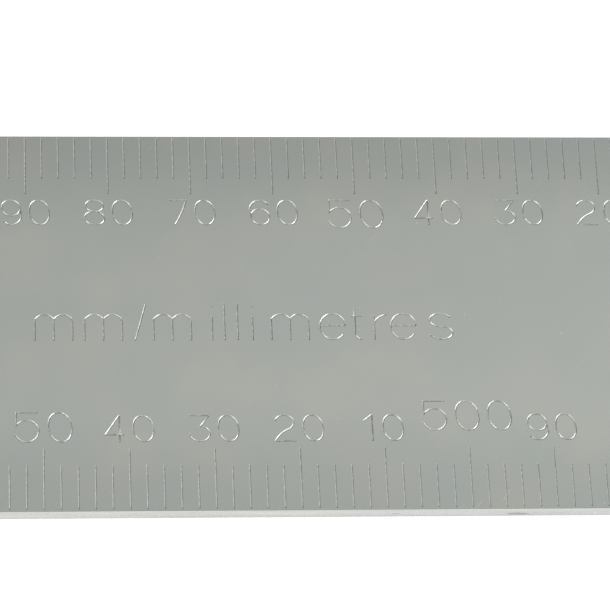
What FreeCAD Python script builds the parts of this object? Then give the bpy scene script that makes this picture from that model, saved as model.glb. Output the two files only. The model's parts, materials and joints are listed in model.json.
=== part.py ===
import FreeCAD, Part
import Sketcher
import os

# A flat steel square: two legs of sheet steel, half-lapped at the heel and held by flush rivets.
# The frame's origin is the heel's outer corner on the underside. The long leg runs towards -X, the
# short leg towards -Y, and the metric face looks up.

SIZES = [
    ("long_length", 609.6, "outer edge of the long leg"),
    ("long_width", 50.8, "width of the long leg"),
    ("short_length", 406.4, "outer edge of the short leg"),
    ("short_width", 38.1, "width of the short leg"),
    ("thickness", 1.9, "sheet thickness of both legs"),
    ("end_radius", 1.5, "corner radius at each free end"),
    ("hang_hole_diameter", 6.0, "hole for a nail or hook"),
    ("hang_hole_inset", 10.0, "hole centre from the long leg's free end"),
    ("rivet_shank_diameter", 3.2, "rivet body and its holes"),
    ("rivet_head_diameter", 4.8, "flush head and its countersink, at the face"),
    ("rivet_head_depth", 0.45, "depth of the flush head and its countersink"),
    ("rivet_outer_inset", 19.0, "rivet centres from the outer edges"),
    ("rivet_inner_inset", 6.0, "rivet centres from the inner edges"),
    ("metric_pitch", 10.0, "long graduations on the upper face"),
    ("inch_pitch", 25.4, "long graduations on the underside"),
    ("tick_inset", 0.3, "gap between an edge and its graduations"),
    ("tick_reach", 8.2, "far end of a long graduation, from its edge"),
    ("groove_width", 0.18, "width of an engraved groove"),
    ("groove_depth", 0.054, "depth of an engraved groove"),
    ("scale_gap", 1.0, "bare steel between a scale and a leg's end or seam"),
]

ORIGIN = -1
START = 1

os.makedirs("parts", exist_ok=True)
doc = FreeCAD.newDocument("SteelSquare")
sheet = doc.addObject("Spreadsheet::Sheet", "Sizes")
for row, (alias, value, note) in enumerate(SIZES, start=1):
    sheet.set("A%d" % row, alias)
    sheet.set("B%d" % row, str(value))
    sheet.set("C%d" % row, note)
    sheet.setAlias("B%d" % row, alias)
doc.recompute()


def value_of(expression):
    """Work out a sheet expression as a plain number."""
    result = sheet.evalExpression(expression)
    return float(getattr(result, "Value", result))


def new_body(label):
    """Start a sub-part whose label is its node name."""
    body = doc.addObject("PartDesign::Body", label)
    body.Label = label
    return body


def new_sketch(body, name, role, offset="0"):
    """Attach a sketch to one of the body's own origin planes, moved along the plane's normal."""
    plane = next(item for item in body.Origin.OriginFeatures if item.Role == role)
    sketch = body.newObject("Sketcher::SketchObject", name)
    sketch.AttachmentSupport = [(plane, "")]
    sketch.MapMode = "FlatFace"
    sketch.setExpression("AttachmentOffset.Base.z", offset)
    return sketch


def bind(sketch, constraint, expression):
    """Add one constraint whose datum follows a sheet expression."""
    index = sketch.addConstraint(constraint)
    sketch.setExpression("Constraints[%d]" % index, expression)


def place_point(sketch, geometry, point, across, up):
    """Hold a point of the sketch at two distances from the sketch's origin."""
    for kind, expression in (("DistanceX", across), ("DistanceY", up)):
        datum = value_of(expression)
        bind(sketch, Sketcher.Constraint(kind, ORIGIN, START, geometry, point, datum), expression)


def draw_outline(sketch, corners):
    """Draw a closed outline whose corners are pairs of sheet expressions."""
    points = [FreeCAD.Vector(value_of(across), value_of(up), 0) for across, up in corners]
    count = len(points)
    for index in range(count):
        sketch.addGeometry(Part.LineSegment(points[index], points[(index + 1) % count]), False)
    for index in range(count):
        sketch.addConstraint(Sketcher.Constraint("Coincident", index, 2, (index + 1) % count, START))
    for index, (across, up) in enumerate(corners):
        place_point(sketch, index, START, across, up)


def draw_circle(sketch, across, up, diameter):
    """Draw a circle whose centre and diameter are sheet expressions."""
    centre = FreeCAD.Vector(value_of(across), value_of(up), 0)
    circle = Part.Circle(centre, FreeCAD.Vector(0, 0, 1), value_of(diameter) / 2)
    index = sketch.addGeometry(circle, False)
    place_point(sketch, index, 3, across, up)
    bind(sketch, Sketcher.Constraint("Diameter", index, value_of(diameter)), diameter)


def make_leg(label, length, width, along_x):
    """Pad a leg's plate from the heel's outer corner and round its two free corners."""
    body = new_body(label)
    reach, breadth = (length, width) if along_x else (width, length)
    outline = new_sketch(body, label + "_outline", "XY_Plane")
    draw_outline(outline, [("0", "0"), ("-" + reach, "0"), ("-" + reach, "-" + breadth), ("0", "-" + breadth)])
    plate = body.newObject("PartDesign::Pad", label + "_plate")
    plate.Profile = outline
    plate.setExpression("Length", "Sizes.thickness")
    doc.recompute()
    end = -value_of(length)
    free_corners = []
    for index, edge in enumerate(plate.Shape.Edges, start=1):
        middle = edge.CenterOfMass
        upright = abs(edge.BoundBox.ZLength - edge.Length) < 1e-6
        position = middle.x if along_x else middle.y
        if upright and abs(position - end) < 1e-6:
            free_corners.append("Edge%d" % index)
    rounding = body.newObject("PartDesign::Fillet", label + "_rounding")
    rounding.Base = (plate, free_corners)
    rounding.setExpression("Radius", "Sizes.end_radius")
    return body


def cut_lap(body, upper):
    """Take half the thickness away over the heel, from above or from below."""
    lap = new_sketch(body, body.Label + "_lap", "XY_Plane", "Sizes.thickness / 2")
    side, depth = "Sizes.short_width", "Sizes.long_width"
    draw_outline(lap, [("0", "0"), ("-" + side, "0"), ("-" + side, "-" + depth), ("0", "-" + depth)])
    half = body.newObject("PartDesign::Pocket", body.Label + "_half_lap")
    half.Profile = lap
    half.Reversed = upper
    half.setExpression("Length", "Sizes.thickness / 2")


def drill_hang_hole(body):
    """Drill the hanging hole near the long leg's free end."""
    circle = new_sketch(body, "hang_hole_circle", "XY_Plane")
    draw_circle(circle, "-(Sizes.long_length - Sizes.hang_hole_inset)", "-Sizes.long_width / 2",
                "Sizes.hang_hole_diameter")
    hole = body.newObject("PartDesign::Pocket", "hang_hole")
    hole.Profile = circle
    hole.Reversed = True
    hole.setExpression("Length", "Sizes.thickness")


def rivet_places():
    """Give the five rivet centres: the corners of a rectangle in the heel, and its middle."""
    outer = "-Sizes.rivet_outer_inset"
    near_x = "-(Sizes.short_width - Sizes.rivet_inner_inset)"
    near_y = "-(Sizes.long_width - Sizes.rivet_inner_inset)"
    middle = ("(%s + %s) / 2" % (outer, near_x), "(%s + %s) / 2" % (outer, near_y))
    return [(outer, outer), (near_x, outer), middle, (outer, near_y), (near_x, near_y)]


def drill_rivet_holes(body, from_above):
    """Drill and countersink the rivet holes through one cheek of the lap."""
    level = "Sizes.thickness" if from_above else "0"
    centres = new_sketch(body, body.Label + "_rivet_centres", "XY_Plane", level)
    for across, up in rivet_places():
        draw_circle(centres, across, up, "Sizes.rivet_shank_diameter")
    doc.recompute()
    holes = body.newObject("PartDesign::Hole", body.Label + "_rivet_holes")
    holes.Profile = centres
    holes.Reversed = not from_above
    holes.DepthType = "ThroughAll"
    holes.ThreadType = "None"
    holes.HoleCutType = "Countersink"
    holes.HoleCutCustomValues = True
    holes.setExpression("Diameter", "Sizes.rivet_shank_diameter")
    holes.setExpression("HoleCutDiameter", "Sizes.rivet_head_diameter")
    holes.setExpression("HoleCutCountersinkAngle",
                        "2 * atan((Sizes.rivet_head_diameter - Sizes.rivet_shank_diameter) / 2"
                        " / Sizes.rivet_head_depth)")


def make_rivet(label, across, up):
    """Turn one rivet, flush on both faces, and set it at its place in the heel."""
    body = new_body(label)
    half_section = new_sketch(body, label + "_half_section", "XZ_Plane")
    head = "Sizes.rivet_head_diameter / 2"
    shank = "Sizes.rivet_shank_diameter / 2"
    upper_neck = "Sizes.thickness - Sizes.rivet_head_depth"
    draw_outline(half_section, [("0", "0"), (head, "0"), (shank, "Sizes.rivet_head_depth"),
                                (shank, upper_neck), (head, "Sizes.thickness"), ("0", "Sizes.thickness")])
    turned = body.newObject("PartDesign::Revolution", label + "_turned")
    turned.Profile = half_section
    turned.ReferenceAxis = (half_section, ["V_Axis"])
    turned.Angle = 360
    body.setExpression("Placement.Base.x", across)
    body.setExpression("Placement.Base.y", up)
    return body


def cut_scale(body, name, leg, face, near, zero, pitch, first, count):
    """Engrave a row of long graduations: one V groove, patterned along the leg."""
    along_x = leg == "long"
    start = near if along_x else "-(%s)" % near
    vee = new_sketch(body, name + "_vee", "XZ_Plane" if along_x else "YZ_Plane", start)
    place = "-(%s + (%s) * %s)" % (zero, first, pitch)
    half = "Sizes.groove_width / 2"
    surface, root = ("Sizes.thickness", "Sizes.thickness - Sizes.groove_depth")
    if face == "under":
        surface, root = ("0", "Sizes.groove_depth")
    draw_outline(vee, [("%s - %s" % (place, half), surface), ("%s + %s" % (place, half), surface),
                       (place, root)])
    groove = body.newObject("PartDesign::Pocket", name + "_groove")
    groove.Profile = vee
    groove.Reversed = along_x
    groove.setExpression("Length", "Sizes.tick_reach - Sizes.tick_inset")
    if value_of(count) < 2:
        return
    row = body.newObject("PartDesign::LinearPattern", name)
    row.Originals = [groove]
    row.Direction = (vee, ["H_Axis"])
    row.Reversed = True
    row.setExpression("Length", "(%s - 1) * %s" % (count, pitch))
    row.setExpression("Occurrences", count)
    body.Tip = row
    doc.recompute()


def graduate(long_leg, short_leg):
    """Engrave both faces of both legs. Each face of the heel is a cheek of one leg only."""
    for face, pitch, heel_leg in (("top", "Sizes.metric_pitch", long_leg),
                                  ("under", "Sizes.inch_pitch", short_leg)):
        for leg, body, length, width, other_width in (
                ("long", long_leg, "Sizes.long_length", "Sizes.long_width", "Sizes.short_width"),
                ("short", short_leg, "Sizes.short_length", "Sizes.short_width", "Sizes.long_width")):
            name = "%s_%s" % (leg, face)
            outer_count = "floor((%s - Sizes.scale_gap) / %s)" % (length, pitch)
            first = "1"
            if body is not heel_leg:
                heel_count = "floor((%s - Sizes.scale_gap) / %s)" % (other_width, pitch)
                cut_scale(heel_leg, name + "_heel", leg, face, "Sizes.tick_inset", "0", pitch, "1", heel_count)
                first = "floor((%s + Sizes.scale_gap) / %s) + 1" % (other_width, pitch)
            count = "%s - (%s) + 1" % (outer_count, first)
            cut_scale(body, name + "_outer", leg, face, "Sizes.tick_inset", "0", pitch, first, count)
            inner_start = "%s - Sizes.tick_reach" % width
            inner_count = "floor((%s - %s - Sizes.scale_gap) / %s)" % (length, other_width, pitch)
            cut_scale(body, name + "_inner", leg, face, inner_start, other_width, pitch, "1", inner_count)


def check_and_export(bodies):
    """Stop on any failed object or cut that removed nothing, then write each node's file."""
    doc.recompute()
    for item in doc.Objects:
        if "Invalid" in item.State or "Error" in item.State:
            raise RuntimeError("%s failed: %s" % (item.Label, item.State))
    for body in bodies:
        volumes = [item.Shape.Volume for item in body.Group if item.isDerivedFrom("PartDesign::Feature")]
        for before, after in zip(volumes, volumes[1:]):
            if after > before - 1e-6:
                raise RuntimeError("a cut in %s removed nothing" % body.Label)
        if body.Shape.isNull() or not body.Shape.isValid():
            raise RuntimeError("%s has a bad shape" % body.Label)
        body.Shape.exportStep("parts/%s.step" % body.Label)
        print(body.Label, round(body.Shape.Volume, 3), len(body.Shape.Solids), len(body.Shape.Faces))


long_leg = make_leg("long_leg", "Sizes.long_length", "Sizes.long_width", True)
cut_lap(long_leg, False)
drill_hang_hole(long_leg)
drill_rivet_holes(long_leg, True)

short_leg = make_leg("short_leg", "Sizes.short_length", "Sizes.short_width", False)
cut_lap(short_leg, True)
drill_rivet_holes(short_leg, False)

graduate(long_leg, short_leg)

rivets = [make_rivet("heel_rivet_%d" % number, across, up)
          for number, (across, up) in enumerate(rivet_places(), start=1)]

check_and_export([long_leg, short_leg] + rivets)
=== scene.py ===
"""A flat steel square, two half-lapped legs and five flush rivets, engraved on both faces."""

import json
import math

import bmesh
import bpy
import numpy as np
from bpy.props import FloatProperty, FloatVectorProperty, PointerProperty
from mathutils import Matrix, Vector
from mathutils.geometry import delaunay_2d_cdt, intersect_line_line_2d


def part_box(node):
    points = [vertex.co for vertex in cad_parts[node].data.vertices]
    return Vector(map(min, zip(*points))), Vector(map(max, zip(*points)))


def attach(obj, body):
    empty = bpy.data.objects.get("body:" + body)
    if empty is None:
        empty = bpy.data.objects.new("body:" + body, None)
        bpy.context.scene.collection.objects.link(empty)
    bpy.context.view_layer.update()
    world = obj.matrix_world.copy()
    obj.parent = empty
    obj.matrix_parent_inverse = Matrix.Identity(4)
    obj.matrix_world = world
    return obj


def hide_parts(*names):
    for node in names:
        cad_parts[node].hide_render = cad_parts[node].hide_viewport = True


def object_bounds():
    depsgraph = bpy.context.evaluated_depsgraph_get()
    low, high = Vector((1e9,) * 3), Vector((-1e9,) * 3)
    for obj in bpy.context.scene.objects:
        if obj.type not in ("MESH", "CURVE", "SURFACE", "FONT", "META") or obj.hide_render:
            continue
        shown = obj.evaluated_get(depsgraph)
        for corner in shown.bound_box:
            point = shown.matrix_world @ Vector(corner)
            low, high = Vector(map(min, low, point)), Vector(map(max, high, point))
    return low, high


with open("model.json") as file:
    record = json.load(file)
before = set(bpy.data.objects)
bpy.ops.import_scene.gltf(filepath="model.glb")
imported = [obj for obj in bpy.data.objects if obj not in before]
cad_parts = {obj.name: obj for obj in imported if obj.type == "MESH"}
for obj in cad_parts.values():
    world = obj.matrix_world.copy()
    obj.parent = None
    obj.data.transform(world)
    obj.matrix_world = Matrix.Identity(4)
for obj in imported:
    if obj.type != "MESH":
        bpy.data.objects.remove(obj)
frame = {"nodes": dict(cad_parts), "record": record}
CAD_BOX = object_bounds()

bl_info = {
    "name": "Steel square",
    "version": (1, 0, 0),
    "blender": (4, 5, 0),
    "location": "3D View > Sidebar > Steel square",
    "description": "Builds an engraved steel square ruler, its studio and its camera",
    "category": "Object",
}

# ---------------------------------------------------------------------------------------------
# What the frame says. Outlines and engraving are worked out in millimetres, as on a drawing.
# ---------------------------------------------------------------------------------------------

MM = 0.001
INCH = 25.4
LONG_LOW, LONG_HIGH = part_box("long_leg")
SHORT_LOW, SHORT_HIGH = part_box("short_leg")
LONG_LENGTH = (LONG_HIGH.x - LONG_LOW.x) / MM
LONG_WIDTH = (LONG_HIGH.y - LONG_LOW.y) / MM
SHORT_LENGTH = (SHORT_HIGH.y - SHORT_LOW.y) / MM
SHORT_WIDTH = (SHORT_HIGH.x - SHORT_LOW.x) / MM
THICKNESS = (LONG_HIGH.z - LONG_LOW.z) / MM
LAP_LEVEL = THICKNESS / 2
RIVETS = sorted(name for name in frame["nodes"] if name.startswith("heel_rivet"))
HANG_HOLE = next(mount for mount in frame["record"]["mounts"] if mount["name"] == "hang_hole")

# Directions on the drawing: from the heel along a leg, and out across it to its outer edge.
LEGS = {
    "long": {"run": (-1, 0), "out": (0, 1),
             "length": LONG_LENGTH, "width": LONG_WIDTH, "other": SHORT_WIDTH},
    "short": {"run": (0, -1), "out": (1, 0),
              "length": SHORT_LENGTH, "width": SHORT_WIDTH, "other": LONG_WIDTH},
}


# ---------------------------------------------------------------------------------------------
# Settings
# ---------------------------------------------------------------------------------------------


def length(name, description, millimetres):
    """A length property whose default is given in millimetres."""
    return FloatProperty(name=name, description=description, default=millimetres * MM,
                         unit="LENGTH", precision=5)


def degrees(name, description, value):
    """An angle property whose default is given in degrees."""
    return FloatProperty(name=name, description=description, default=math.radians(value), subtype="ANGLE")


def watts(name, description, value):
    """A light's power property."""
    return FloatProperty(name=name, description=description, default=value, unit="POWER")


def colour(name, description, value):
    """A linear colour property."""
    return FloatVectorProperty(name=name, description=description, default=value,
                               subtype="COLOR", min=0, max=1)


class SquareGraduations(bpy.types.PropertyGroup):
    """The marks of the four metric and four inch scales."""

    metric_step: length("Metric step", "Distance between two metric marks", 2)
    inch_step: length("Inch step", "Distance between two inch marks", INCH / 8)
    first_mark: length("First mark", "Value of the first mark next to the outer corner", 8)
    edge_gap: length("Edge gap", "Bare steel between an edge and its marks", 0.36)
    end_gap: length("End gap", "Bare steel between the last mark and a leg's end", 1)
    short_reach: length("Short mark", "Far end of a short mark from its edge", 5.87)
    long_reach: length("Long mark", "Far end of a numbered mark from its edge", 8.07)
    groove_width: length("Groove width", "Width of every engraved stroke", 0.18)
    groove_depth: length("Groove depth", "Depth of every engraved stroke", 0.054)


class SquareLettering(bpy.types.PropertyGroup):
    """The engraved numbers and unit names."""

    number_gap: length("Number gap", "Edge to the near side of the numbers", 9.03)
    hundred_gap: length("Hundreds gap", "Edge to the near side of the full hundreds", 10.35)
    small_height: length("Small height", "Height of the common numbers", 3.4)
    small_width: length("Small width", "Width of one common digit", 2.42)
    small_pitch: length("Small pitch", "Spacing of the common digits", 3.35)
    large_height: length("Large height", "Height of the fifties and hundreds", 3.86)
    large_width: length("Large width", "Width of one large digit", 2.78)
    large_pitch: length("Large pitch", "Spacing of the large digits", 3.85)
    unit_height: length("Unit letter height", "Height of a small letter of the unit name", 3.5)
    unit_base: length("Unit base line", "Inner edge to the foot of the unit name", 22.55)
    unit_start: length("Unit start", "Free end to the start of the unit name", 20.6)


class SquareEdges(bpy.types.PropertyGroup):
    """The broken edges of the sheet and the rivets."""

    edge_round: length("Edge rounding", "Radius of the legs' broken edges", 0.04)
    rivet_line: length("Rivet line", "Half width of the hairline round each rivet", 0.045)


class SquareSteel(bpy.types.PropertyGroup):
    """The satin steel."""

    cool: colour("Cool steel", "Steel where the finish looks cool", (0.559, 0.600, 0.563))
    warm: colour("Warm steel", "Steel where the finish looks warm", (0.592, 0.606, 0.559))
    # Painted shade: this tint darkens each leg's faces towards both edges, standing in for a darker
    # reflection there; the band width below sets how far in it reaches.
    scale: colour("Scale steel", "Tint of the darker bands along the scales", (0.862, 0.867, 0.867))
    scratch: colour("Scratch steel", "Bright scratches and pits", (0.85, 0.86, 0.84))
    edge: colour("Edge steel", "Steel on the ground edges", (0.51, 0.52, 0.50))
    streak: colour("Streak steel", "Brighter streaks along the ground edges", (0.575, 0.585, 0.565))
    # Painted shade: a dark steel laid on the broken edges' roundings and the rivets' chamfers, where an edge
    # would reflect dark; the dark dashes on the ground edges use it too.
    arris: colour("Arris steel", "Dark line where a face turns into an edge", (0.26, 0.27, 0.26))
    # Painted shade: the steel inside the engraving is darker than the faces, to deepen the shade on the
    # grooves' flanks.
    groove: colour("Groove steel", "Steel inside the engraving", (0.45, 0.47, 0.445))
    chatter: colour("Chatter steel", "Bright flecks left by the cutter", (0.66, 0.68, 0.65))
    scale_band: length("Scale band", "Width of the darker bands along the scales", 15)
    # Painted light: within this band of each edge the engraving is lightened, lifting the shade on its
    # flanks.
    worn_band: length("Worn band", "How far in from an edge the engraving is rubbed brighter", 9)
    roughness: FloatProperty(name="Roughness", description="Roughness of the faces", default=0.36,
                             subtype="FACTOR")


class SquareStudio(bpy.types.PropertyGroup):
    """The camera and the lights."""

    lens: FloatProperty(name="Lens", description="Focal length", default=228.46, unit="CAMERA")
    distance: length("Distance", "Camera to the point it looks at", 463.43)
    azimuth: degrees("Azimuth", "Camera's turn about the square", -9.98)
    elevation: degrees("Elevation", "Camera's height angle", 60.71)
    roll: degrees("Roll", "Camera's roll", 8.61)
    look_along: length("Look along", "Heel to the point looked at, along the long leg", 556.70)
    look_across: length("Look across", "Outer edge to the point looked at", 23.57)
    key_power: watts("Key light", "Strength of the right softbox", 17)
    fill_power: watts("Fill light", "Strength of the left softbox", 9.5)
    floor_glow: FloatProperty(name="Floor glow", description="Light the table gives off", default=0.36)


# ---------------------------------------------------------------------------------------------
# Strokes. A stroke is a smooth line of points; a glyph is a list of strokes in a unit cell.
# ---------------------------------------------------------------------------------------------

STEP = math.radians(17)


def line(*points):
    """A straight stroke or a run of straight strokes."""
    return [Vector(point) for point in points]


def oval(centre, radii, start, end, power=2.0, lean=0.0):
    """An arc of an oval between two angles in degrees.

    A power over 2 squares it up, and a lean tips its top back.
    """
    first, last = math.radians(start), math.radians(end)
    count = max(2, round(abs(last - first) / STEP))
    points = []
    for index in range(count + 1):
        angle = first + (last - first) * index / count
        across, up = math.cos(angle), math.sin(angle)
        across = math.copysign(abs(across) ** (2 / power), across)
        up = math.copysign(abs(up) ** (2 / power), up)
        points.append(Vector((centre[0] + radii[0] * across - lean * up, centre[1] + radii[1] * up)))
    return points


def bow(start, end, rise, count=7):
    """A shallow curve that stands off its chord by rise, to the left of the way it runs."""
    start, end = Vector(start), Vector(end)
    chord = end - start
    side = Vector((-chord.y, chord.x)).normalized()
    return [start + chord * (index / count) + side * (rise * 4 * (index / count) * (1 - index / count))
            for index in range(count + 1)]


DIGITS = {
    "0": [oval((0.5, 0.5), (0.49, 0.5), 90, 450, 2.15, 0.06)],
    "1": [line((0.46, 0.77), (0.84, 1)), line((0.87, 1), (0.87, 0))],
    "2": [oval((0.47, 0.71), (0.46, 0.29), 163, -48) + bow((0.75, 0.475), (0.02, 0.01), -0.075)[1:],
          line((0.02, 0), (1, 0))],
    "3": [line((0.02, 1), (0.94, 1)), line((0.94, 0.99), (0.52, 0.58)),
          oval((0.49, 0.29), (0.49, 0.29), 84, -176)],
    "4": [line((0.70, 1), (0.04, 0.27)), line((0.04, 0.27), (0.92, 0.27)), line((0.73, 1), (0.73, 0))],
    "5": [line((0.04, 1), (0.92, 1)), line((0.04, 0.99), (0.038, 0.555)),
          oval((0.48, 0.37), (0.51, 0.37), 150, -163)],
    "6": [oval((0.53, 0.32), (0.46, 0.32), 90, 450, 2.1, 0.03),
          line((0.06, 0.36)) + oval((0.5, 0.62), (0.5, 0.38), 180, 35)],
    "7": [line((0.15, 1), (0.97, 1)), bow((0.95, 0.99), (0.38, 0), 0.05)],
    "8": [oval((0.5, 0.765), (0.43, 0.235), 90, 450, 2.2, 0.03),
          oval((0.5, 0.265), (0.49, 0.265), 90, 450, 2.2, 0.03)],
    "9": [oval((0.47, 0.68), (0.46, 0.32), 90, 450, 2.1, 0.03),
          line((0.94, 0.64)) + oval((0.5, 0.38), (0.5, 0.38), 0, -145)],
}

# The blank part at the left of a narrow digit's cell.
LEADS = {"1": 0.46}

# Letters: widths and points in heights of a small letter.
ARCH_RIGHT = bow((0.64, 0.80), (1.235, 0.85), 0.165) + line((1.275, 0.74), (1.275, 0))
LETTERS = {
    "m": (1.275, [line((0, 0), (0, 0.82)), line((0.64, 0), (0.64, 0.8)),
                  bow((0, 0.8), (0.64, 0.82), 0.185), ARCH_RIGHT]),
    "n": (0.635, [line((0, 0), (0, 0.82)), [point - Vector((0.64, 0)) for point in ARCH_RIGHT]]),
    "h": (0.635, [line((0, 0), (0, 1.38)), [point - Vector((0.64, 0)) for point in ARCH_RIGHT]]),
    "i": (0.0, [line((0, 0), (0, 0.88)), line((0, 1.285), (0, 1.3))]),
    "l": (0.0, [line((0, 0), (0, 1.38))]),
    "/": (0.36, [line((0, 0), (0.36, 1.36))]),
    "e": (0.88, [oval((0.44, 0.5), (0.44, 0.5), 8, 325), line((0.02, 0.53), (0.85, 0.53))]),
    "c": (0.8, [oval((0.44, 0.5), (0.44, 0.5), 40, 320)]),
    "t": (0.2, [line((0, 1.16), (0, 0.3)) + oval((0.22, 0.24), (0.22, 0.24), 180, 265),
                line((-0.12, 0.9), (0.2, 0.9))]),
    "r": (0.42, [line((0, 0), (0, 0.9)), bow((0, 0.66), (0.42, 0.96), 0.06)]),
    "s": (0.8, [oval((0.40, 0.745), (0.36, 0.255), 25, 262) + oval((0.42, 0.245), (0.39, 0.245), 82, -158)]),
}

# Each unit name is a row of letters, each after the gap that stands before it.
METRIC_NAME = [("m", 0), ("m", 0.41), ("/", 0.44), ("m", 0.27), ("i", 0.72), ("l", 0.42), ("l", 0.45),
               ("i", 0.51), ("m", 0.64), ("e", 0.38), ("t", 0.33), ("r", 0.46), ("e", 0.14), ("s", 0.43)]
INCH_NAME = [("i", 0), ("n", 0.5), ("/", 0.43), ("i", 0.4), ("n", 0.5), ("c", 0.36), ("h", 0.36), ("e", 0.33),
             ("s", 0.40)]


def set_glyph(glyph, corner, size, right, up):
    """Place a glyph: its lower left corner, its scale across and up, and the drawing's directions."""
    right, up, corner = Vector(right), Vector(up), Vector(corner)
    return [[corner + right * (point.x * size[0]) + up * (point.y * size[1]) for point in stroke]
            for stroke in glyph]


def number_span(text, size):
    """How wide a number is; size is its digits' width, height and pitch."""
    width, _, pitch = size
    return (len(text) - 1) * pitch + width * (1 - sum(LEADS.get(digit, 0) for digit in text))


def set_number(text, foot, size, right, up):
    """Set a number, centred over the foot."""
    width, height, pitch = size
    place = -number_span(text, size) / 2
    glyphs = []
    for digit in text:
        place -= LEADS.get(digit, 0) * width
        corner = Vector(foot) + Vector(right) * place
        glyphs.append(set_glyph(DIGITS[digit], corner, (width, height), right, up))
        place += pitch
    return glyphs


def set_name(letters, start, height, right, up):
    """Set a unit name as a row of letters, from its lower left corner."""
    glyphs = []
    place = 0.0
    for letter, gap in letters:
        width, strokes = LETTERS[letter]
        place += gap * height
        glyphs.append(set_glyph(strokes, Vector(start) + Vector(right) * place, (height, height), right, up))
        place += width * height
    return glyphs


# ---------------------------------------------------------------------------------------------
# The scales
# ---------------------------------------------------------------------------------------------


def mark(leg, place, near, far):
    """One mark across a leg, between two distances from its outer edge."""
    run, out = Vector(leg["run"]), Vector(leg["out"])
    return [[run * place - out * near, run * place - out * far]]


def mark_reach(sizes, value, metric):
    """How far a mark reaches from its edge: full at a number, and by steps at parts of an inch."""
    short, full = sizes.short_reach / MM, sizes.long_reach / MM
    if metric:
        return full if value % 10 == 0 else short
    eighths = round(value / INCH * 8)
    for part, share in ((8, 1.0), (4, 0.5), (2, 0.0)):
        if eighths % part == 0:
            return short + (full - short) * share
    return short * 0.8


def metric_number(value, lettering):
    """The digits cut at a value, their size and their distance from the edge: hundreds stand in full."""
    small = (lettering.small_width / MM, lettering.small_height / MM, lettering.small_pitch / MM)
    large = (lettering.large_width / MM, lettering.large_height / MM, lettering.large_pitch / MM)
    if value % 100 == 0:
        return str(value), large, lettering.hundred_gap / MM
    if value % 50 == 0:
        return "50", large, lettering.number_gap / MM
    return "%02d" % (value % 100), small, lettering.number_gap / MM


def inch_number(value, lettering):
    """The digits cut at a whole inch."""
    large = (lettering.large_width / MM, lettering.large_height / MM, lettering.large_pitch / MM)
    return str(round(value / INCH)), large, lettering.number_gap / MM


def cut_scale(leg, metric, inner, sizes, lettering):
    """All the marks and numbers of one scale, each with its place along the leg."""
    step = sizes.metric_step / MM if metric else sizes.inch_step / MM
    zero = leg["other"] if inner else 0.0
    last = leg["length"] - zero - sizes.end_gap / MM
    first = 1 if inner else math.ceil(sizes.first_mark / MM / step - 1e-6)
    run, out = Vector(leg["run"]), Vector(leg["out"])
    reads_down = (leg is LEGS["short"]) == metric
    right = run if reads_down else -run
    glyphs = []
    for index in range(first, int(last / step) + 1):
        value = round(index * step, 3)
        near, far = sizes.edge_gap / MM, mark_reach(sizes, value, metric)
        if inner:
            near, far = leg["width"] - near, leg["width"] - far
        glyphs.append(mark(leg, zero + value, near, far))
        numbered = value % 10 == 0 if metric else index % 8 == 0
        if not numbered:
            continue
        text, size, gap = metric_number(int(value), lettering) if metric else inch_number(value, lettering)
        half = number_span(text, size) / 2
        in_heel = not inner and leg is LEGS["short"] and value < gap + size[1] + 1
        if in_heel or zero + value + half > leg["length"] - 1:
            continue
        foot = leg["width"] - gap if inner else gap + size[1]
        glyphs += set_number(text, run * (zero + value) - out * foot, size, right, out)
    return glyphs


def cut_face(metric, sizes, lettering):
    """Every glyph on one face of the whole square."""
    glyphs = []
    for leg in LEGS.values():
        for inner in (False, True):
            glyphs += cut_scale(leg, metric, inner, sizes, lettering)
    leg = LEGS["long"]
    right = Vector((1, 0)) if metric else Vector((-1, 0))
    letters = METRIC_NAME if metric else INCH_NAME
    height = lettering.unit_height / MM
    start = Vector(leg["run"]) * (leg["length"] - lettering.unit_start / MM)
    if not metric:
        start = Vector(leg["run"]) * (leg["length"] / 2)
    start -= Vector(leg["out"]) * (leg["width"] - lettering.unit_base / MM)
    return glyphs + set_name(letters, start, height, right, leg["out"])


# ---------------------------------------------------------------------------------------------
# Engraved plates
# ---------------------------------------------------------------------------------------------


def offset_line(points, distance, closed):
    """A line beside another one, mitred at its points."""
    count = len(points)
    result = []
    for index, point in enumerate(points):
        before = points[index - 1] if closed or index else None
        after = points[(index + 1) % count] if closed or index < count - 1 else None
        sides = []
        for first, second in ((before, point), (point, after)):
            if first is not None and second is not None:
                way = (second - first).normalized()
                sides.append(Vector((-way.y, way.x)))
        if len(sides) == 1:
            result.append(point + sides[0] * distance)
        else:
            total = sides[0] + sides[1]
            result.append(point + total * (distance / (1 + sides[0].dot(sides[1]))))
    return result


def round_end(centre, way, half, count=6):
    """Points round the end of a groove, from its left side to its right."""
    left = Vector((-way.y, way.x))
    turns = [math.pi * index / count for index in range(1, count)]
    return [centre + left * (half * math.cos(turn)) + way * (half * math.sin(turn)) for turn in turns]


def hold_straights(stroke, half):
    """The stroke with a point close to each end of its long straight parts, to keep their flanks flat."""
    points = [stroke[0]]
    for first, second in zip(stroke, stroke[1:]):
        way = second - first
        if way.length > 4 * half:
            way = way.normalized() * half
            points += [first + way, second - way]
        points.append(second)
    return points


def groove_loops(stroke, half):
    """The centre line of a groove and its outlines, as (points, closed) pairs."""
    stroke = hold_straights(stroke, half)
    closed = (stroke[0] - stroke[-1]).length < 1e-6
    if closed:
        ring = stroke[:-1]
        return [(ring, True), (offset_line(ring, half, True), True), (offset_line(ring, -half, True), True)]
    tip, tail = (stroke[-1] - stroke[-2]).normalized(), (stroke[0] - stroke[1]).normalized()
    around = offset_line(stroke, half, False) + round_end(stroke[-1], tip, half)
    around += offset_line(stroke, -half, False)[::-1] + round_end(stroke[0], tail, half)
    return [(stroke, False), (around, True)]


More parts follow.
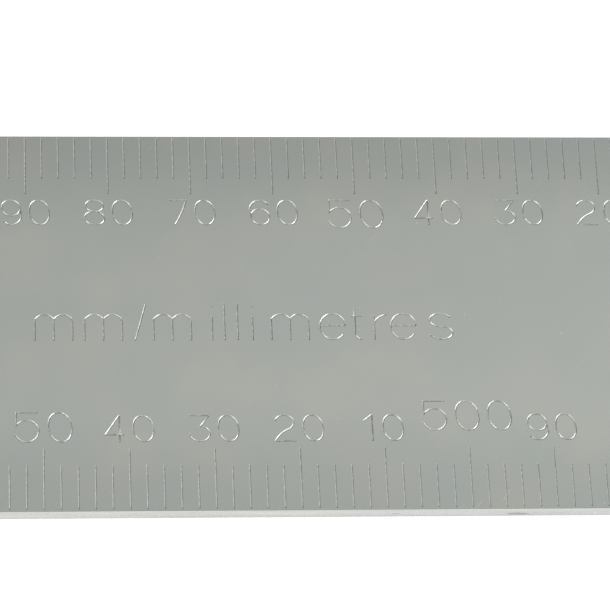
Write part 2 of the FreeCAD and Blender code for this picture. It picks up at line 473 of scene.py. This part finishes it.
def groove_depths(points, glyphs, half, depth):
    """How deep each point lies under the face, from its distance to the nearest centre line."""
    below = np.zeros(len(points))
    order = np.argsort(points[:, 0])
    sorted_x = points[order, 0]
    for glyph in glyphs:
        starts = np.array([point[:] for stroke in glyph for point in stroke[:-1]])
        ends = np.array([point[:] for stroke in glyph for point in stroke[1:]])
        low = np.minimum(starts, ends).min(0) - half
        high = np.maximum(starts, ends).max(0) + half
        chosen = order[np.searchsorted(sorted_x, low[0]):np.searchsorted(sorted_x, high[0], "right")]
        chosen = chosen[(points[chosen, 1] >= low[1]) & (points[chosen, 1] <= high[1])]
        if not len(chosen):
            continue
        along = ends - starts
        offset = points[chosen][:, None, :] - starts[None]
        share = np.clip((offset * along).sum(2) / (along * along).sum(1), 0, 1)
        distance = np.linalg.norm(offset - share[..., None] * along, axis=2).min(1)
        below[chosen] = np.maximum(below[chosen], depth * (1 - distance / half))
    below[below < depth * 1e-3] = 0
    return below


# In millimetres: points of one face nearer than SNAP become one, and so do points of a solid's parts
# nearer than WELD.
SNAP = 2e-4
WELD = 1.2e-3


class Shell:
    """Points and faces gathered for one solid, in millimetres."""

    def __init__(self):
        self.points = []
        self.faces = []

    def add(self, points, faces):
        """Add points and the faces between them."""
        base = len(self.points)
        self.points += points
        self.faces += [[base + corner for corner in face] for face in faces]

    def add_band(self, rings):
        """Join closed rings of as many points, one after another."""
        count = len(rings[0])
        points = [point for ring in rings for point in ring]
        faces = []
        for row in range(len(rings) - 1):
            for index in range(count):
                after = (index + 1) % count
                faces.append([row * count + index, row * count + after,
                              (row + 1) * count + after, (row + 1) * count + index])
        self.add(points, faces)

    def add_walls(self, runs, upper, lower):
        """Join a ring, given as a run of points for each side, to the plain outline below or above it."""
        for run, after in zip(runs, runs[1:] + runs[:1]):
            top = run + [after[0]]
            points = raise_ring(top, upper) + raise_ring([after[0], run[0]], lower)
            self.add(points, [list(range(len(points)))])

    def add_face(self, outline, holes, glyphs, level, inward, half, depth):
        """Triangulate a flat face with its grooves cut to depth, inward up or down."""
        points, edges = [], []
        loops = [(outline, True)] + [(hole, True) for hole in holes]
        for glyph in glyphs:
            for stroke in glyph:
                loops += groove_loops(stroke, half)
        for ring, closed in loops:
            base, count = len(points), len(ring)
            points += ring
            links = count if closed else count - 1
            edges += [(base + index, base + (index + 1) % count) for index in range(links)]
        made, _, faces, _, _, _ = delaunay_2d_cdt(points, edges, [], 1, SNAP)
        flat = np.array([point[:] for point in made])
        below = groove_depths(flat, glyphs, half, depth)
        faces = np.array(faces)
        middles = flat[faces].mean(1)
        low, high = box_of([outline])
        kept = ((middles > low) & (middles < high)).all(1)
        for hole in holes:
            centre = sum(hole, Vector((0, 0))) / len(hole)
            kept &= np.linalg.norm(flat[faces] - centre, axis=2).max(1) > (hole[0] - centre).length * 1.001
        self.add([(x, y, level + inward * deep) for (x, y), deep in zip(flat, below)], faces[kept].tolist())


def box_of(strokes):
    """The lowest and highest corners of some strokes."""
    points = np.array([point[:] for stroke in strokes for point in stroke])
    return points.min(0), points.max(0)


def touches(glyph, outline, margin):
    """Whether any of a glyph, with a margin round it, lies in the box of an outline."""
    (low, high), (start, end) = box_of(glyph), box_of([outline])
    return bool(((low - margin < end) & (high + margin > start)).all())


def split_outline(outline, edge, glyphs, half):
    """The outline as a run of points for each side, with a point where a groove crosses its broken edge."""
    ring = inset(outline, edge)
    low, high = box_of([ring])
    crossing = [glyph for glyph in glyphs
                if (box_of(glyph)[0] - half < low).any() or (box_of(glyph)[1] + half > high).any()]
    pieces = [(a, b) for glyph in crossing for stroke in glyph for loop, closed in groove_loops(stroke, half)
              for a, b in zip(loop, loop[1:] + (loop[:1] if closed else []))]
    runs = []
    for index, point in enumerate(outline):
        first, second = ring[index], ring[(index + 1) % len(ring)]
        way = (second - first).normalized()
        hits = [intersect_line_line_2d(first, second, a, b) for a, b in pieces]
        places = sorted((hit - first).dot(way) for hit in hits if hit)
        kept = [place for place, before in zip(places, [0] + places) if place - before > 0.001]
        outward = Vector((way.y, -way.x)) * edge
        runs.append([point] + [first + way * place + outward for place in kept])
    return runs


def inset(polygon, distance):
    """A polygon drawn inside another, which turns to the left."""
    return offset_line(polygon, distance, True)


def raise_ring(ring, level):
    """A flat ring at a level."""
    return [(point.x, point.y, level) for point in ring]


def circle(centre, radius, count=48):
    """A ring of points."""
    return [centre + Vector((math.cos(angle), math.sin(angle))) * radius
            for angle in (math.tau * index / count for index in range(count))]


EDGE_STEPS = 3


def rounded_profile(size):
    """(inset, drop) pairs round a broken edge, from the face to the wall."""
    angles = [math.pi / 2 * step / EDGE_STEPS for step in range(EDGE_STEPS + 1)]
    return [(size * (1 - math.sin(angle)), size * (1 - math.cos(angle))) for angle in angles]


def add_half_plate(shell, outline, holes, glyphs, level, inward, edge, half, depth):
    """One face of a leg with its broken edge and its walls down to the lap level."""
    glyphs = [glyph for glyph in glyphs if touches(glyph, outline, half)]
    runs = split_outline(outline, edge, glyphs, half)
    split = [point for run in runs for point in run]
    hole_faces = [circle(centre, profile[0][0]) for centre, profile in holes]
    shell.add_face(inset(split, edge), hole_faces, glyphs, level, inward, half, depth)
    rings = []
    for distance, drop in rounded_profile(edge):
        ring = inset(split, distance)
        below = groove_depths(np.array([point[:] for point in ring]), glyphs, half, depth)
        heights = [level + inward * max(drop, deep) for deep in below]
        rings.append([(point.x, point.y, height) for point, height in zip(ring, heights)])
    shell.add_band(rings)
    shell.add_walls(runs, level + inward * edge, LAP_LEVEL)
    for centre, profile in holes:
        walls = [raise_ring(circle(centre, radius), level + inward * drop) for radius, drop in profile]
        shell.add_band(walls + [raise_ring(circle(centre, profile[-1][0]), LAP_LEVEL)])


def finish_mesh(name, shell, material):
    """Join the gathered parts into one closed mesh with crisp grooves and smooth curves."""
    mesh = bpy.data.meshes.new(name)
    mesh.from_pydata([Vector(point) * MM for point in shell.points], [], shell.faces)
    work = bmesh.new()
    work.from_mesh(mesh)
    bmesh.ops.remove_doubles(work, verts=work.verts, dist=WELD * MM)
    bmesh.ops.dissolve_degenerate(work, edges=work.edges, dist=1e-9)
    bmesh.ops.recalc_face_normals(work, faces=work.faces)
    sharp_angle = math.radians(31)
    for face in work.faces:
        face.smooth = True
    for edge in work.edges:
        if len(edge.link_faces) != 2:
            raise RuntimeError("%s is not closed" % name)
        flat_side = any(abs(face.normal.z) > 0.9999 for face in edge.link_faces)
        angle = edge.calc_face_angle(0)
        edge.smooth = angle < sharp_angle and not (flat_side and angle > math.radians(2))
    work.to_mesh(mesh)
    work.free()
    mesh.materials.append(material)
    piece = bpy.data.objects.new(name, mesh)
    bpy.context.scene.collection.objects.link(piece)
    return piece


def leg_outline(leg, start, corner, radius=1.5, count=5):
    """A leg's outline from start, the distance along it where it begins, turning to the left."""
    run, out = Vector(leg["run"]), Vector(leg["out"])
    end, width = leg["length"], leg["width"]
    points = [run * start]
    if start < corner:
        points.append(run * corner)
    for near, first in ((0, 0), (width, 1)):
        side = -1 if first else 1
        centre = run * (end - radius) - out * (near + side * radius)
        for index in range(count + 1):
            angle = math.pi / 2 * index / count
            along, across = math.sin(angle), math.cos(angle)
            if first:
                along, across = across, along
            points.append(centre + run * (radius * along) + out * (side * radius * across))
    if start < corner:
        points.append(run * corner - out * width)
    points.append(run * start - out * width)
    area = sum(a.x * b.y - a.y * b.x for a, b in zip(points, points[1:] + points[:1]))
    return points if area > 0 else points[::-1]


def rivet_size(name):
    """A rivet's centre on the drawing and its head radius."""
    low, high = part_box(name)
    centre = Vector(((low.x + high.x) / 2, (low.y + high.y) / 2)) / MM
    return centre, (high.x - low.x) / 2 / MM


# A rivet's shank radius, the depth of its head and the rise of its dome, which its box doesn't give.
RIVET_SHANK = 1.6
RIVET_HEAD_DEPTH = 0.45
RIVET_DOME = 0.012


def rivet_hole(line_width):
    """(radius, drop) pairs down a countersunk hole, from the face."""
    head = rivet_size(RIVETS[0])[1]
    return [(head + line_width, 0), (head - line_width * 0.4, line_width), (RIVET_SHANK, RIVET_HEAD_DEPTH)]


def make_leg(name, material):
    """Build one leg, whose upper or lower cheek covers the heel, engraved on both faces."""
    settings = bpy.context.scene
    sizes, lettering, edges = settings.square_graduations, settings.square_lettering, settings.square_edges
    leg = LEGS[name]
    half, depth = sizes.groove_width / MM / 2, sizes.groove_depth / MM
    edge = edges.edge_round / MM
    hole_profile = rivet_hole(edges.rivet_line / MM)
    shell = Shell()
    hang_holes = []
    if name == "long":
        radius = HANG_HOLE["dims"]["r_mm"]
        centre = Vector(HANG_HOLE["pos_m"][:2]) / MM
        hang_holes = [(centre, [(radius + distance, drop) for distance, drop in rounded_profile(edge)])]
    rivet_holes = [(rivet_size(rivet)[0], hole_profile) for rivet in RIVETS]
    for metric, level, inward, heel_leg in ((True, THICKNESS, -1, "long"), (False, 0.0, 1, "short")):
        covers_heel = heel_leg == name
        glyphs = cut_face(metric, sizes, lettering)
        outline = leg_outline(leg, 0.0 if covers_heel else leg["other"], leg["other"])
        holes = hang_holes + (rivet_holes if covers_heel else [])
        add_half_plate(shell, outline, holes, glyphs, level, inward, edge, half, depth)
    heel = line((0, 0), (-SHORT_WIDTH, 0), (-SHORT_WIDTH, -LONG_WIDTH), (0, -LONG_WIDTH))
    shank_rings = [circle(centre, RIVET_SHANK) for centre, _ in rivet_holes]
    shell.add_face(heel, shank_rings, [], LAP_LEVEL, 1, half, depth)
    piece = finish_mesh("%s_leg_engraved" % name, shell, material)
    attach(piece, "root")
    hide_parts("%s_leg" % name)
    return piece


def make_rivet(name, material, line_width):
    """Turn one flush rivet with hairline chamfers, a faint dome on each head and closed ends."""
    centre, head = rivet_size(name)
    profile = [(0.35 * head, -RIVET_DOME), (0.7 * head, -RIVET_DOME * 0.6), (head - 1.6 * line_width, 0),
               (head - line_width, line_width * 0.6), (RIVET_SHANK, RIVET_HEAD_DEPTH)]
    shell = Shell()
    upper = [raise_ring(circle(centre, radius), THICKNESS - drop) for radius, drop in profile]
    lower = [raise_ring(circle(centre, radius), drop) for radius, drop in reversed(profile)]
    shell.add_band(upper + lower)
    count = len(upper[0])
    fan = [[0, 1 + index, 1 + (index + 1) % count] for index in range(count)]
    for level, ring in ((THICKNESS + RIVET_DOME, upper[0]), (-RIVET_DOME, lower[-1])):
        shell.add([(centre.x, centre.y, level)] + ring, fan)
    piece = finish_mesh("%s_set" % name, shell, material)
    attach(piece, "root")
    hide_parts(name)
    return piece


# ---------------------------------------------------------------------------------------------
# Materials
# ---------------------------------------------------------------------------------------------


class Term:
    """An output socket whose arithmetic adds Math nodes."""

    def __init__(self, graph, socket):
        self.graph = graph
        self.socket = socket

    def math(self, operation, *values):
        """Add a Math node whose inputs are these values or terms."""
        return self.graph.node("ShaderNodeMath", {"operation": operation}, dict(enumerate(values)))

    def __add__(self, other):
        return self.math("ADD", self, other)

    def __sub__(self, other):
        return self.math("SUBTRACT", self, other)

    def __rsub__(self, other):
        return self.math("SUBTRACT", other, self)

    def __mul__(self, other):
        return self.math("MULTIPLY", self, other)

    def __gt__(self, other):
        return self.math("GREATER_THAN", self, other)

    def __lt__(self, other):
        return self.math("LESS_THAN", self, other)

    def __abs__(self):
        return self.math("ABSOLUTE", self)

    __radd__ = __add__
    __rmul__ = __mul__


class Graph:
    """A node tree being written."""

    def __init__(self, tree):
        self.tree = tree
        tree.nodes.clear()

    def node(self, kind, settings=None, inputs=None, output=0):
        """Add a node: its settings first, then its sockets' values or links; give one output."""
        item = self.tree.nodes.new(kind)
        for name, value in (settings or {}).items():
            setattr(item, name, value)
        for name, value in (inputs or {}).items():
            socket = item.inputs[name]
            if isinstance(value, Term):
                self.tree.links.new(value.socket, socket)
            else:
                socket.default_value = value
        return Term(self, item.outputs[output]) if item.outputs else None

    def mix(self, factor, first, second, blend="MIX"):
        """Mix two colours."""
        return self.node("ShaderNodeMix", {"data_type": "RGBA", "blend_type": blend},
                         {0: factor, 6: first, 7: second}, 2)

    def ramp(self, value, low, high):
        """Map a value smoothly from 0 at low to 1 at high."""
        return self.node("ShaderNodeMapRange", {"interpolation_type": "SMOOTHSTEP"},
                         {"Value": value, "From Min": low, "From Max": high})

    def noise(self, vector, scale, detail=2.0, roughness=0.5):
        """Noise over a vector."""
        return self.node("ShaderNodeTexNoise", {}, {"Vector": vector, "Scale": scale, "Detail": detail,
                                                    "Roughness": roughness})

    def squeezed(self, vector, scale):
        """A vector whose patterns are packed closer along each axis by a scale."""
        return self.node("ShaderNodeMapping", {}, {"Vector": vector, "Scale": scale})

    def turned(self, vector, angle, scale):
        """A vector whose patterns are drawn out by a scale along axes turned about the upright one."""
        return self.node("ShaderNodeMapping", {"vector_type": "TEXTURE"},
                         {"Vector": vector, "Rotation": (0, 0, angle), "Scale": scale})


def rgba(value):
    """A colour with full alpha."""
    return (*value, 1.0)


def new_material(name):
    """A material with an empty graph."""
    material = bpy.data.materials.new(name)
    material.use_nodes = True
    return material, Graph(material.node_tree)


def satin_steel(name, leg=None, turned_marks=False):
    """Satin steel: cloudy tone, fine grain, pits, hairline scratches, brighter ground edges, and painted
    shade on the roundings, in the grooves and in dashes on the ground edges.

    A leg's faces get painted shade towards its two edges, and its engraving is painted lighter there.
    """
    steel = bpy.context.scene.square_steel
    material, graph = new_material(name)
    place = graph.node("ShaderNodeTexCoord", output=3)
    facing = graph.node("ShaderNodeNewGeometry", output=1)
    upright = graph.node("ShaderNodeSeparateXYZ", {}, {0: facing}, 2)
    level = abs(upright)
    edge_mask = 1 - graph.ramp(level, 0.10, 0.3)
    groove_mask = graph.ramp(level, 0.80, 0.83) * (1 - graph.ramp(level, 0.885, 0.90))
    # Where the painted edge shade goes: every face tilted off the flat, outside the grooves.
    arris_shade_mask = (1 - graph.ramp(level, 0.985, 0.997)) * (1 - groove_mask)

    clouds = graph.noise(place, 130, 3.0, 0.55)
    patches = graph.noise(graph.turned(place, 0.4, (1.7, 1, 1)), 90, 2.0)
    grain = graph.noise(place, 4200, 2.0, 0.6)
    tone = graph.ramp(clouds * 0.6 + patches * 0.4, 0.36, 0.64)
    face = graph.mix(tone, rgba(steel.cool), rgba(steel.warm))

    hair = graph.noise(graph.turned(place, math.radians(52), (16, 1, 1)), 2600, 1.0)
    presence = graph.noise(place, 110, 1.0)
    scratches = graph.ramp(hair, 0.70, 0.76) * graph.ramp(presence, 0.55, 0.65)
    cells = graph.node("ShaderNodeTexVoronoi", {"feature": "F1"}, {"Vector": place, "Scale": 420}, 0)
    picks = graph.noise(place, 600, 0.0)
    specks = (cells < 0.045) * (picks > 0.6)
    chatter = graph.ramp(graph.noise(place, 2200, 1.0), 0.40, 0.66)
    # The engraving's colour: darker steel as painted shade in the grooves, with bright chatter flecks.
    cut = graph.mix(chatter, rgba(steel.groove), rgba(steel.chatter))

    if leg:
        axes = graph.node("ShaderNodeSeparateXYZ", {}, {0: place}, 0 if leg["out"][0] else 1)
        # Painted shade: the faces darken towards both edges of the leg.
        width, band = leg["width"] * MM, steel.scale_band
        edge_band_shade = graph.ramp(abs(axes + width / 2), width / 2 - band, width / 2)
        face = graph.mix(edge_band_shade, face, rgba(steel.scale), "MULTIPLY")
        # Painted light: the engraving is lightened towards both edges of the leg.
        groove_painted_light = graph.ramp(abs(axes + width / 2), width / 2 - steel.worn_band, width / 2)
        cut = graph.mix(groove_painted_light * 0.45, cut, rgba(steel.chatter))
    lightened = graph.mix(scratches * 0.22 + specks * 0.5, face, rgba(steel.scratch))
    with_grooves = graph.mix(groove_mask, lightened, cut)
    # Painted shade on the roundings and chamfers.
    with_arris_shade = graph.mix(arris_shade_mask, with_grooves, rgba(steel.arris))
    streaks = graph.noise(graph.squeezed(place, (60, 60, 1500)), 1.0, 2.0)
    # Painted shade: dark dashes on the ground edges, standing in for contact shadow where the sheet meets the
    # table.
    contact_shadow_dashes = graph.noise(graph.squeezed(place, (130, 130, 900)), 1.0, 0.0)
    ground = graph.mix(graph.ramp(streaks, 0.35, 0.65), rgba(steel.edge), rgba(steel.streak))
    ground = graph.mix((contact_shadow_dashes > 0.8) * 0.7, ground, rgba(steel.arris))
    base = graph.mix(edge_mask, with_arris_shade, ground)
    uneven = (grain - 0.5) * 0.16 + (clouds - 0.5) * 0.08
    roughness = steel.roughness + uneven - edge_mask * 0.08 - groove_mask * 0.04
    height = grain * 0.5 + scratches * -1.4 - specks * 0.8
    if turned_marks:
        height = height + graph.noise(graph.turned(place, 0.7, (9, 1, 1)), 4000, 1.0) * 0.9
    bump = graph.node("ShaderNodeBump", {}, {"Strength": 0.22, "Distance": 0.00002, "Height": height})
    shader = graph.node("ShaderNodeBsdfPrincipled", {},
                        {"Base Color": base, "Metallic": 1.0, "Roughness": roughness, "Normal": bump})
    graph.node("ShaderNodeOutputMaterial", {}, {"Surface": shader})
    return material


def table_top(name, glow):
    """The pale light table: matt white with its own even glow and a faint cloudiness."""
    material, graph = new_material(name)
    place = graph.node("ShaderNodeTexCoord", output=3)
    clouds = graph.noise(place, 3.0, 3.0)
    base = graph.mix(graph.ramp(clouds, 0.3, 0.7), rgba((0.90, 0.90, 0.90)), rgba((0.93, 0.93, 0.925)))
    shader = graph.node("ShaderNodeBsdfPrincipled", {},
                        {"Base Color": base, "Roughness": 0.85, "Specular IOR Level": 0.1,
                         "Emission Color": rgba((1, 1, 1)), "Emission Strength": glow})
    graph.node("ShaderNodeOutputMaterial", {}, {"Surface": shader})
    return material


# ---------------------------------------------------------------------------------------------
# Studio
# ---------------------------------------------------------------------------------------------


def light_world():
    """A soft sky, brightest overhead and to the right, which the camera sees as plain white."""
    world = bpy.data.worlds.new("studio")
    bpy.context.scene.world = world
    world.use_nodes = True
    graph = Graph(world.node_tree)
    way = graph.node("ShaderNodeTexCoord", output=0)
    split = graph.node("ShaderNodeSeparateXYZ", {}, {0: way}).socket.node
    right, back, up = [Term(graph, split.outputs[index]) for index in range(3)]
    overhead = (1 - graph.ramp(back, -0.15, 0.95)) * (0.35 + 0.65 * graph.ramp(back, -0.75, 0))
    room = graph.ramp(up, 0.2, 0.75)
    window = graph.ramp(right, 0.25, 0.9) * graph.ramp(up, 0, 0.5)
    strength = 0.14 + overhead * room * 1.07 + right * 0.3 * room + window * 0.62
    seen = graph.node("ShaderNodeLightPath", output=0)
    shown = graph.node("ShaderNodeMix", {"data_type": "FLOAT"}, {0: seen, 2: strength, 3: 1.0})
    sky = graph.node("ShaderNodeBackground", {}, {"Color": rgba((1, 1, 1)), "Strength": shown})
    graph.node("ShaderNodeOutputWorld", {}, {"Surface": sky})


def add_softbox(name, aim, way, distance, size, power):
    """A square soft light that stands off in a direction and faces the aim."""
    data = bpy.data.lights.new(name, "AREA")
    data.shape = "RECTANGLE"
    data.size, data.size_y = size
    data.energy = power
    box = bpy.data.objects.new(name, data)
    bpy.context.scene.collection.objects.link(box)
    way = Vector(way).normalized()
    box.location = aim + way * distance
    box.rotation_mode = "QUATERNION"
    box.rotation_quaternion = way.to_track_quat("Z", "Y")
    box.visible_camera = False


def add_camera(studio, aim):
    """The camera, turned about the aim and rolled."""
    data = bpy.data.cameras.new("camera")
    data.lens = studio.lens
    data.sensor_width = 36
    camera = bpy.data.objects.new("camera", data)
    bpy.context.scene.collection.objects.link(camera)
    flat = Vector((math.sin(studio.azimuth), -math.cos(studio.azimuth), 0)) * math.cos(studio.elevation)
    back = flat + Vector((0, 0, math.sin(studio.elevation)))
    turn = (-back).to_track_quat("-Z", "Y").to_matrix().to_4x4() @ Matrix.Rotation(studio.roll, 4, "Z")
    camera.matrix_world = Matrix.Translation(aim + back * studio.distance) @ turn
    data.clip_start = 0.01
    data.clip_end = 50
    bpy.context.scene.camera = camera


class SQUARE_OT_stage(bpy.types.Operator):
    """Make the light table, the soft lights and the camera"""

    bl_idname = "square.stage"
    bl_label = "Make the stage"

    def execute(self, context):
        studio = context.scene.square_studio
        low, high = CAD_BOX
        aim = Vector((high.x - studio.look_along, high.y - studio.look_across, high.z))
        add_camera(studio, aim)
        light_world()
        add_softbox("key_softbox", aim, (0.78, -0.16, 0.62), 2.4, (1.9, 1.9), studio.key_power)
        add_softbox("fill_softbox", aim, (-0.66, -0.24, 0.74), 2.4, (1.7, 1.7), studio.fill_power)
        reach = 40.0
        mesh = bpy.data.meshes.new("light_table")
        level = low.z - 0.00002
        corners = ((-reach, -reach), (reach, -reach), (reach, reach), (-reach, reach))
        mesh.from_pydata([(x, y, level) for x, y in corners], [], [(0, 1, 2, 3)])
        mesh.materials.append(table_top("light_table_white", studio.floor_glow))
        table = bpy.data.objects.new("light_table", mesh)
        context.scene.collection.objects.link(table)
        context.scene.view_settings.view_transform = "Standard"
        return {"FINISHED"}


class SQUARE_OT_long_leg(bpy.types.Operator):
    """Make the long leg, engraved on both faces"""

    bl_idname = "square.long_leg"
    bl_label = "Make the long leg"

    def execute(self, context):
        make_leg("long", satin_steel("long_leg_satin_steel", LEGS["long"]))
        return {"FINISHED"}


class SQUARE_OT_short_leg(bpy.types.Operator):
    """Make the short leg, engraved on both faces"""

    bl_idname = "square.short_leg"
    bl_label = "Make the short leg"

    def execute(self, context):
        make_leg("short", satin_steel("short_leg_satin_steel", LEGS["short"]))
        return {"FINISHED"}


class SQUARE_OT_rivets(bpy.types.Operator):
    """Make the flush rivets in the heel"""

    bl_idname = "square.rivets"
    bl_label = "Make the rivets"

    def execute(self, context):
        material = satin_steel("rivet_ground_steel", turned_marks=True)
        for name in RIVETS:
            make_rivet(name, material, context.scene.square_edges.rivet_line / MM)
        return {"FINISHED"}


class SQUARE_PT_panel(bpy.types.Panel):
    """The square's operators and settings"""

    bl_idname = "SQUARE_PT_panel"
    bl_label = "Steel square"
    bl_space_type = "VIEW_3D"
    bl_region_type = "UI"
    bl_category = "Steel square"

    def draw(self, context):
        for operator in OPERATORS:
            self.layout.operator(operator.bl_idname)
        for name, group in GROUPS.items():
            box = self.layout.box()
            box.label(text=group.__doc__)
            for setting in group.__annotations__:
                box.prop(getattr(context.scene, name), setting)


GROUPS = {
    "square_graduations": SquareGraduations,
    "square_lettering": SquareLettering,
    "square_edges": SquareEdges,
    "square_steel": SquareSteel,
    "square_studio": SquareStudio,
}
OPERATORS = (SQUARE_OT_stage, SQUARE_OT_long_leg, SQUARE_OT_short_leg, SQUARE_OT_rivets)


def register():
    """Register the settings, the operators and the panel."""
    for name, group in GROUPS.items():
        bpy.utils.register_class(group)
        setattr(bpy.types.Scene, name, PointerProperty(type=group))
    for item in (*OPERATORS, SQUARE_PT_panel):
        bpy.utils.register_class(item)


def unregister():
    """Undo register."""
    for item in (SQUARE_PT_panel, *reversed(OPERATORS)):
        bpy.utils.unregister_class(item)
    for name, group in GROUPS.items():
        delattr(bpy.types.Scene, name)
        bpy.utils.unregister_class(group)


def main():
    """Build everything."""
    register()
    bpy.ops.square.stage()
    bpy.ops.square.long_leg()
    bpy.ops.square.short_leg()
    bpy.ops.square.rivets()


if __name__ == "__main__":
    main()
